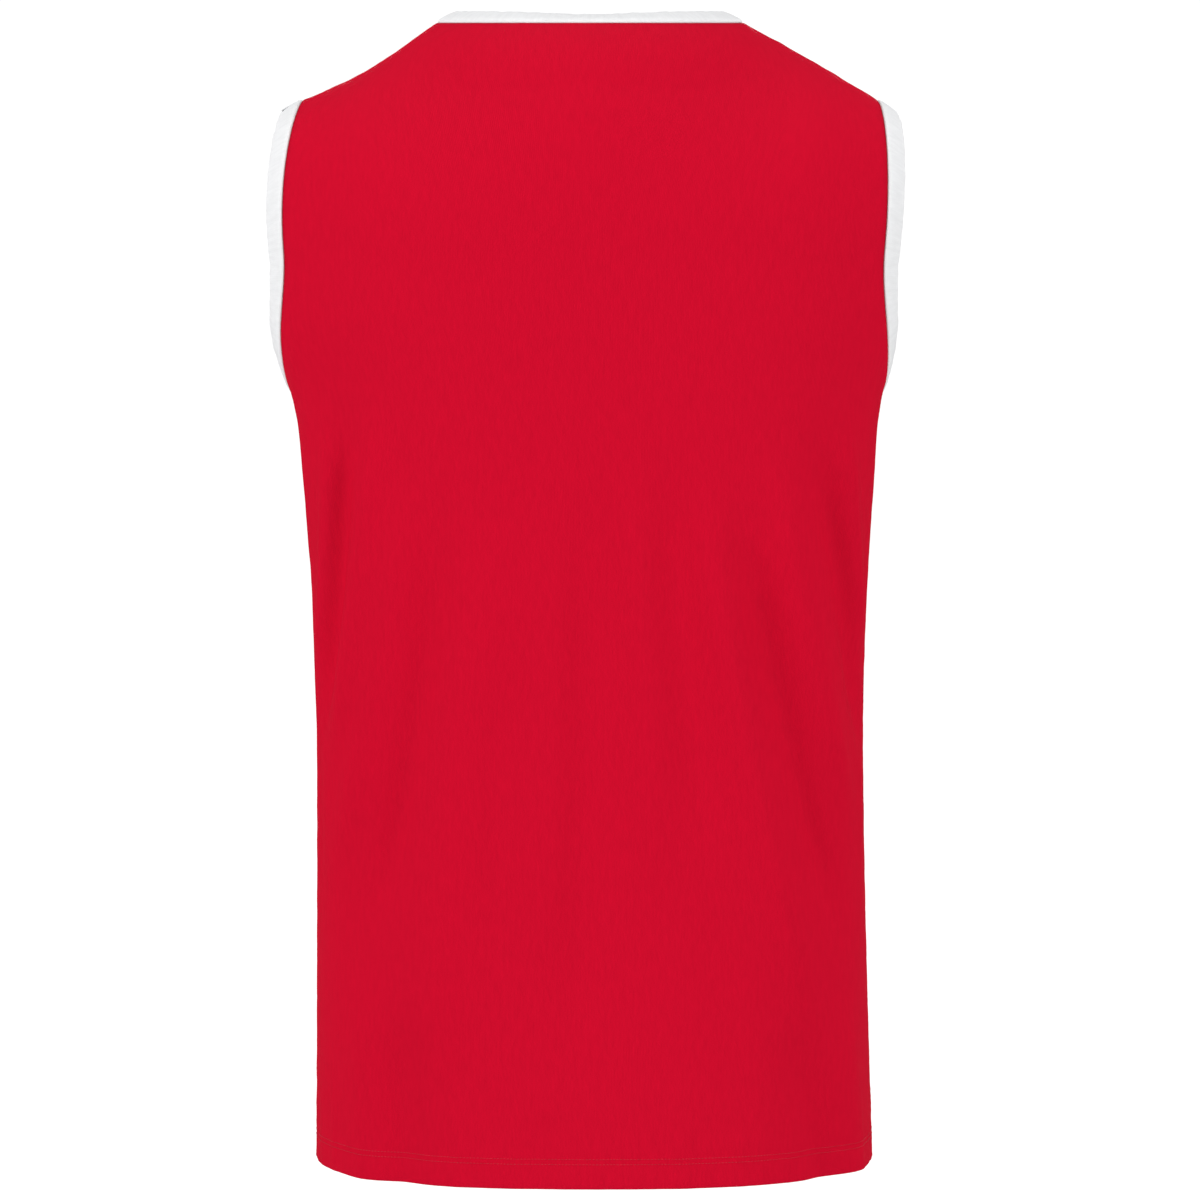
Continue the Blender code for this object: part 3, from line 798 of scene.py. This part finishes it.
def band_section():
    """Reach from the seam and lift above it, round a folded band, and the walk along the cloth."""
    straight = BAND_WIDTH - BAND_HALF_WALL
    shares = np.array(BAND_FACE_SHARES)
    reach = straight * shares
    crown = BAND_PROUD + BAND_CROWN * np.sin(math.pi * shares)
    face = crown - BAND_CURL * shares**BAND_CURL_POWER
    turn = np.linspace(0.0, math.pi, BAND_FOLD_STEPS + 1)[1:-1]
    edge_reach = straight + BAND_HALF_WALL * np.sin(turn)
    edge_lift = face[-1] - BAND_HALF_WALL * (1.0 - np.cos(turn))
    inner = face - 2.0 * BAND_HALF_WALL
    reaches = np.concatenate([reach, edge_reach, reach[::-1]])
    lifts = np.concatenate([face - roll_in(reach), edge_lift, inner[::-1]])
    return reaches, lifts, walk_along(np.stack([reaches, lifts], axis=-1))


BAND_REACHES, BAND_LIFTS, BAND_WALK = band_section()
print(f"a band's strip is {BAND_WALK[-1]:.1f} mm wide before it is folded")

# %% The loops of sewn points
def meet(one, other):
    """The middle of the two corners that a seam brings together, and its outward direction."""
    return (one[0] + other[0]) / 2.0, unit(one[1] + other[1])


def sewn_points(wall, rows, columns):
    """Points on a panel's sewn edge, with their outward directions."""
    return list(zip(wall.outer[rows, columns], wall.out[rows, columns]))


def sewn_loop(back, front):
    """A closed loop along the back and on along the front, met at both ends."""
    return [meet(back[0], front[-1])] + back[1:-1] + [meet(back[-1], front[0])] + front[1:-1]


def armhole_loop(side):
    """Seam points round one armhole, from the underarm up the back and down the front."""
    column = -1 if side > 0.0 else 0
    rise, fall = (
        sewn_points(wall, slice(wall.underarm, None), column) for wall in walls.values()
    )
    return sewn_loop(rise, fall[::-1])


def neck_loop():
    """Seam points round the neck, from the wearer's left round the back and the front."""
    rear, fore = (
        sewn_points(wall, -1, slice(wall.neck_columns[0], wall.neck_columns[1] + 1))
        for wall in walls.values()
    )
    return sewn_loop(rear[::-1], fore)


print("sewn points:", len(neck_loop()), "and", len(armhole_loop(1.0)))

# %% A band along a loop
BAND_START = 0.06
BAND_RIPPLE = 0.12
OUT_SMOOTHING = 14
ALONG_SMOOTHING = 3


def smoothed(loop, rounds):
    """A closed loop of vectors, each drawn towards its neighbours."""
    for _ in range(rounds):
        loop = (np.roll(loop, 1, axis=0) + 2.0 * loop + np.roll(loop, -1, axis=0)) / 4.0
    return loop


def band_piece(name, node, loop, away):
    """A folded white band along a closed loop of sewn points. away is +1 or -1."""
    places = np.array([place for place, out in loop])
    outs = unit(smoothed(np.array([out for place, out in loop]), OUT_SMOOTHING))
    places = places + outs * ROLL_DEPTH
    ahead, behind = np.roll(places, -1, axis=0), np.roll(places, 1, axis=0)
    along = unit(smoothed(ahead - behind, ALONG_SMOOTHING))
    outs = unit(outs - along * np.sum(outs * along, axis=1, keepdims=True))
    across = np.cross(outs, along) * away
    ring = np.arange(len(places) + 1) % len(places)
    walked = walk_along(places[ring])
    turns = 2.0 * math.pi * walked / walked[-1]
    waves = sum(np.sin(np.round(walked[-1] / wave) * turns + wave) for wave in PUCKER_WAVES)
    ripple = BAND_RIPPLE * waves * (BAND_REACHES / BAND_WIDTH)[:, None]
    points = places[ring] + across[ring] * (BAND_START + BAND_REACHES)[:, None, None]
    points = points + outs[ring] * (BAND_LIFTS[:, None] + ripple)[..., None]
    flat = np.stack(np.broadcast_arrays(BAND_WALK[:, None], walked), axis=-1)
    # The band's painted seam shade weight, highest at its seam: painted light on the white.
    near = np.broadcast_to(np.exp(-BAND_REACHES / SEAM_SHADE_REACH)[:, None], flat.shape[:2])
    piece = cloth_grid(name, points, flat, near, flip=away > 0.0, closed=True)
    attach(piece, "root")
    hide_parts(node)
    print(f"{name}: {walked[-1]:.0f} mm of seam")
    return piece, walked[-1]


bands = [
    band_piece("neck_band_jersey", "neck_band", neck_loop(), 1.0),
    band_piece("armhole_band_left_jersey", "armhole_band_left", armhole_loop(1.0), 1.0),
    band_piece("armhole_band_right_jersey", "armhole_band_right", armhole_loop(-1.0), -1.0),
]

# %% [markdown]
# ## The hem's stitches
#
# The hem is held by a twin needle: two rows of short stitches, three millimetres apart, that run
# all the way round near the raw edge inside. A dotted texture would do from afar. One small bead of
# thread for each stitch, pressed half into the cloth, also stands up to a close look, and a
# sphere with few faces is enough for a thing one and a half millimetres long.

# %% Lines of stitches
STITCH_PITCH = 2.0
NEEDLE_ROWS = (14.5, 17.5)
# Half the length over which a stitch's direction is measured.
STITCH_AHEAD = 0.5
# How many of the close columns beside a side seam hold no stitch.
SEAM_COLUMNS = 4


def course_line(wall, height):
    """Points and outward directions of a panel along one level course, corner to corner."""
    heights = wall.outer[:, :, 2] - HEM_HEIGHT
    row = int(np.argmax(heights[:, heights.shape[1] // 2] > height))
    low, high = heights[row - 1], heights[row]
    share = np.clip((height - low) / (high - low), 0.0, 1.0)[:, None]
    line = wall.outer[row - 1] * (1.0 - share) + wall.outer[row] * share
    return line, unit(wall.out[row - 1] * (1.0 - share) + wall.out[row] * share)


def along_line(spots, walked, vectors):
    """The vectors at in-between spots of a line whose points are walked that far apart."""
    return np.stack([np.interp(spots, walked, axis) for axis in vectors.T], axis=-1)


def stitch_frames(line, outs):
    """Places and directions of stitches set end to end along a line that lies on the cloth."""
    walked = walk_along(line)
    count = int(walked[-1] // STITCH_PITCH)
    spots = (np.arange(count) + 0.5) * walked[-1] / count
    ahead = along_line(spots + STITCH_AHEAD, walked, line)
    along = unit(ahead - along_line(spots - STITCH_AHEAD, walked, line))
    across = unit(np.cross(unit(along_line(spots, walked, outs)), along))
    return along_line(spots, walked, line), along, across, np.cross(along, across)


print("needle rows", " and ".join(str(height) for height in NEEDLE_ROWS), "mm above the edge")

# %% Beads of thread
STITCH_LENGTH = 1.5
STITCH_WIDTH = 0.42
STITCH_SINK = 0.04
STITCH_SIDES = 6
STITCH_RINGS = 4
# Few stitches are sewn at a time, because each new bead in a large mesh takes longer.
STRETCH = 30


def sew(matrices):
    """A mesh with one bead of thread at each matrix."""
    bm = bmesh.new()
    for matrix in matrices:
        bmesh.ops.create_uvsphere(
            bm, u_segments=STITCH_SIDES, v_segments=STITCH_RINGS, radius=1.0, matrix=matrix
        )
    mesh = bpy.data.meshes.new("sewn")
    bm.to_mesh(mesh)
    bm.free()
    return mesh


def hem_stitches(name, panel):
    """Both rows of stitches of one panel's hem, as one piece."""
    half = np.array([STITCH_LENGTH, STITCH_WIDTH, STITCH_WIDTH]) / 2.0 * MM
    clear = slice(SEAM_COLUMNS, -SEAM_COLUMNS)
    matrices = []
    for height in NEEDLE_ROWS:
        line, outs = course_line(walls[panel.name], height)
        for place, along, across, normal in zip(*stitch_frames(line[clear], outs[clear])):
            turn = Matrix(np.array([along, across, normal]).T.tolist()).to_4x4()
            spot = Matrix.Translation((place + normal * STITCH_SINK) * MM)
            matrices.append(spot @ turn @ Matrix.Diagonal((*half, 1.0)))
    bm = bmesh.new()
    for start in range(0, len(matrices), STRETCH):
        stretch = sew(matrices[start : start + STRETCH])
        bm.from_mesh(stretch)
        bpy.data.meshes.remove(stretch)
    piece = new_object(name, bm)
    piece.data.shade_smooth()
    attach(piece, "root")
    print(name, len(matrices), "stitches")
    return piece


back_stitches = hem_stitches("hem_stitches_back", BACK)
front_stitches = hem_stitches("hem_stitches_front", FRONT)

# %% [markdown]
# ## Knitted cloth as a material
#
# Plain jersey shows upright ribs of small loops, called wales, about a millimetre apart. An image
# of knitting would need its own file. A node group can draw it from the UV map: a saw tooth across
# the cloth makes the wales, and the rows of loops slant up on both sides of each wale. The group is
# built once, with the spacing as inputs, and puts out a height for the bump and a shade for the
# colour: painted shade, darker in the hollows between wales and loops, with the yarn's own speckle.

# %% The knit node group
# How far the loops slant beside a wale, how high they stand on its rib, and how much of both the
# height and the painted shade take up. The painted shade darkens the colour where the knit is low,
# between the wales and loops.
LOOP_SLANT = 1.6
LOOP_HEIGHT = 0.28
HEIGHT_SCALE = 0.39
KNIT_PAINTED_SHADE = 0.05
# A fine speckle of the yarn, longer along the wales than across them.
SPECKLE_SCALE = 420.0
SPECKLE_DETAIL = 2.0
SPECKLE_STRETCH = (1.0, 0.22, 1.0)


def math_node(tree, operation, first, second=None, third=None):
    """A Math node whose inputs are sockets or numbers. It returns the node's output."""
    node = tree.nodes.new("ShaderNodeMath")
    node.operation = operation
    for socket, value in zip(node.inputs, (first, second, third)):
        if isinstance(value, bpy.types.NodeSocket):
            tree.links.new(value, socket)
        elif value is not None:
            socket.default_value = value
    return node.outputs["Value"]


def knit_group():
    """Wales and courses of plain jersey, drawn on flat cloth measured in metres."""
    tree = bpy.data.node_groups.new("knit", "ShaderNodeTree")
    tree.interface.new_socket("Flat", in_out="INPUT", socket_type="NodeSocketVector")
    for name, side in (
        ("Wale", "INPUT"), ("Course", "INPUT"), ("Height", "OUTPUT"), ("Shade", "OUTPUT")
    ):
        tree.interface.new_socket(name, in_out=side, socket_type="NodeSocketFloat")
    inside = tree.nodes.new("NodeGroupInput")
    result = tree.nodes.new("NodeGroupOutput")
    split = tree.nodes.new("ShaderNodeSeparateXYZ")
    tree.links.new(inside.outputs["Flat"], split.inputs["Vector"])
    across = math_node(tree, "DIVIDE", split.outputs["X"], inside.outputs["Wale"])
    along = math_node(tree, "DIVIDE", split.outputs["Y"], inside.outputs["Course"])
    saw_tooth = math_node(tree, "FRACT", across)
    from_middle = math_node(tree, "ABSOLUTE", math_node(tree, "SUBTRACT", saw_tooth, 0.5))
    rib = math_node(tree, "COSINE", math_node(tree, "MULTIPLY", from_middle, 2.0 * math.pi))
    slant = math_node(tree, "ADD", along, math_node(tree, "MULTIPLY", from_middle, LOOP_SLANT))
    loop = math_node(tree, "SINE", math_node(tree, "MULTIPLY", slant, 2.0 * math.pi))
    relief = math_node(tree, "MULTIPLY_ADD", loop, LOOP_HEIGHT, rib)
    height = math_node(tree, "MULTIPLY_ADD", relief, HEIGHT_SCALE, 0.5)
    tree.links.new(height, result.inputs["Height"])
    speckle = tree.nodes.new("ShaderNodeTexNoise")
    speckle.inputs["Scale"].default_value = SPECKLE_SCALE
    speckle.inputs["Detail"].default_value = SPECKLE_DETAIL
    stretch = tree.nodes.new("ShaderNodeMapping")
    stretch.inputs["Scale"].default_value = SPECKLE_STRETCH
    tree.links.new(inside.outputs["Flat"], stretch.inputs["Vector"])
    tree.links.new(stretch.outputs["Vector"], speckle.inputs["Vector"])
    # Painted shade: the colour darkens where the relief is low. The speckle is the yarn's own tone.
    shade = math_node(tree, "MULTIPLY_ADD", relief, KNIT_PAINTED_SHADE, speckle.outputs["Fac"])
    tree.links.new(shade, result.inputs["Shade"])
    return tree


KNIT = knit_group()
print("knit group sockets:", ", ".join(item.name for item in KNIT.interface.items_tree))

# %% [markdown]
# ## The two cloths and the thread
#
# Both cloths are matt polyester jersey and use the knit group, each with its own spacing. The
# white strips are cut so that their wales run along the band. Sheen could give the cloth a glow at
# its edges, but the shirt in the photograph has none, so the material stays plain and hardly
# shines. Beside a seam the red is painted darker: painted shade of the seam's groove, together with
# the darker line of its thread. The white is painted a little paler there, painted light that keeps
# the shade of its own groove from reading as a grey line. The thread is a smoother red, mottled by
# its twist.

# %% The jersey material
# Two colours, the second painted in beside a seam (painted shade on the red, painted light on the
# white), the spacing of wales and courses in millimetres, how far the knit is turned on the flat
# cloth, in degrees, and the strength of its relief.
Jersey = namedtuple("Jersey", "name colour at_seam wale course turn relief")
RED_JERSEY = Jersey(
    "red_jersey", (0.60, 0.0028, 0.0235), (0.17, 0.001, 0.008), 0.95, 0.75, 0.0, 0.35
)
WHITE_JERSEY = Jersey(
    "white_jersey", (0.83, 0.835, 0.845), (0.9, 0.9, 0.9), 1.2, 0.8, 90.0, 0.2
)
JERSEY_ROUGHNESS = 0.8
JERSEY_SPECULAR = 0.03
RELIEF_DEPTH = 0.22
# The knit's painted shade and yarn speckle, over their usual range, scale the colour down and up by
# this share.
SHADE_RANGE = (0.3, 0.7)
SHADE_SPREAD = 0.03


def jersey(cloth):
    """A knitted cloth of one colour, on a piece with a flat_cloth UV map."""
    material, tree, shader = new_material(cloth.name, JERSEY_ROUGHNESS)
    shader.inputs["Specular IOR Level"].default_value = JERSEY_SPECULAR
    flat = tree.nodes.new("ShaderNodeUVMap")
    flat.uv_map = "flat_cloth"
    knit = tree.nodes.new("ShaderNodeGroup")
    knit.node_tree = KNIT
    knit.inputs["Wale"].default_value = cloth.wale * MM
    knit.inputs["Course"].default_value = cloth.course * MM
    turn = tree.nodes.new("ShaderNodeMapping")
    turn.inputs["Rotation"].default_value = (0.0, 0.0, math.radians(cloth.turn))
    tree.links.new(flat.outputs["UV"], turn.inputs["Vector"])
    tree.links.new(turn.outputs["Vector"], knit.inputs["Flat"])
    level = tree.nodes.new("ShaderNodeMapRange")
    level.inputs["From Min"].default_value, level.inputs["From Max"].default_value = SHADE_RANGE
    level.inputs["To Min"].default_value = 1.0 - SHADE_SPREAD
    level.inputs["To Max"].default_value = 1.0 + SHADE_SPREAD
    tree.links.new(knit.outputs["Shade"], level.inputs["Value"])
    # The seam weight mixes in the painted seam colour: painted shade on the red, painted light on
    # the white.
    near = tree.nodes.new("ShaderNodeAttribute")
    near.attribute_name = "seam_near"
    seam = tree.nodes.new("ShaderNodeMix")
    seam.data_type = "RGBA"
    seam.inputs["A"].default_value = (*cloth.colour, 1.0)
    seam.inputs["B"].default_value = (*cloth.at_seam, 1.0)
    tree.links.new(near.outputs["Fac"], seam.inputs["Factor"])
    tone = tree.nodes.new("ShaderNodeVectorMath")
    tone.operation = "SCALE"
    tree.links.new(seam.outputs["Result"], tone.inputs[0])
    tree.links.new(level.outputs["Result"], tone.inputs["Scale"])
    tree.links.new(tone.outputs["Vector"], shader.inputs["Base Color"])
    relief = tree.nodes.new("ShaderNodeBump")
    relief.inputs["Strength"].default_value = cloth.relief
    relief.inputs["Distance"].default_value = RELIEF_DEPTH * MM
    tree.links.new(knit.outputs["Height"], relief.inputs["Height"])
    tree.links.new(relief.outputs["Normal"], shader.inputs["Normal"])
    return material


red_jersey, white_jersey = jersey(RED_JERSEY), jersey(WHITE_JERSEY)
print("cloths:", red_jersey.name, white_jersey.name)

# %% The thread material
THREAD_RED = np.array([0.55, 0.003, 0.022])
THREAD_ROUGHNESS = 0.5
TWIST_SCALE = 900.0
TWIST_DARK = 0.8
TWIST_BRIGHT = 1.1


def thread(name):
    """Polyester sewing thread, twisted, with a soft shine."""
    material, tree, shader = new_material(name, THREAD_ROUGHNESS)
    place = tree.nodes.new("ShaderNodeTexCoord")
    twist = tree.nodes.new("ShaderNodeTexNoise")
    twist.inputs["Scale"].default_value = TWIST_SCALE
    tone = tree.nodes.new("ShaderNodeMix")
    tone.data_type = "RGBA"
    tone.inputs["A"].default_value = (*(TWIST_DARK * THREAD_RED), 1.0)
    tone.inputs["B"].default_value = (*(TWIST_BRIGHT * THREAD_RED), 1.0)
    tree.links.new(place.outputs["Object"], twist.inputs["Vector"])
    tree.links.new(twist.outputs["Fac"], tone.inputs["Factor"])
    tree.links.new(tone.outputs["Result"], shader.inputs["Base Color"])
    return material


red_thread = thread("red_thread")
print("thread:", red_thread.name)

# %% Each piece gets its material
for material, pieces in (
    (red_jersey, (back_jersey, front_jersey)),
    (white_jersey, [band for band, length in bands]),
    (red_thread, (back_stitches, front_stitches)),
):
    for piece in pieces:
        piece.data.materials.append(material)
    print(material.name, "on", ", ".join(piece.name for piece in pieces))

# %% [markdown]
# ## What each cloth was cut from
#
# Laid flat, the panels are as wide as half the shirt's girth, less what the armholes and the neck
# take away, and the bands as long as their seams. Only the bands' flat sizes are printed. These
# sizes could be typed in. Here they come from the grids themselves, so they stay true to the
# pieces.


for piece, length in bands:
    print(piece.name, f"flat {length:.0f} x {BAND_WALK[-1]:.0f} mm")

# %% [markdown]
# ## Finish
#
# The boxes of the CAD model and of the dressed model are printed side by side, so that they can be
# compared: cloth may stand a little proud of its solid, and no more.

# %% Sizes and the last line
SEEN_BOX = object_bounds()
boxes = {
    "cad": [list(corner) for corner in CAD_BOX],
    "visual": [list(corner) for corner in SEEN_BOX],
}
for name, box in boxes.items():
    print(name, "box", [[round(x, 4) for x in corner] for corner in box])
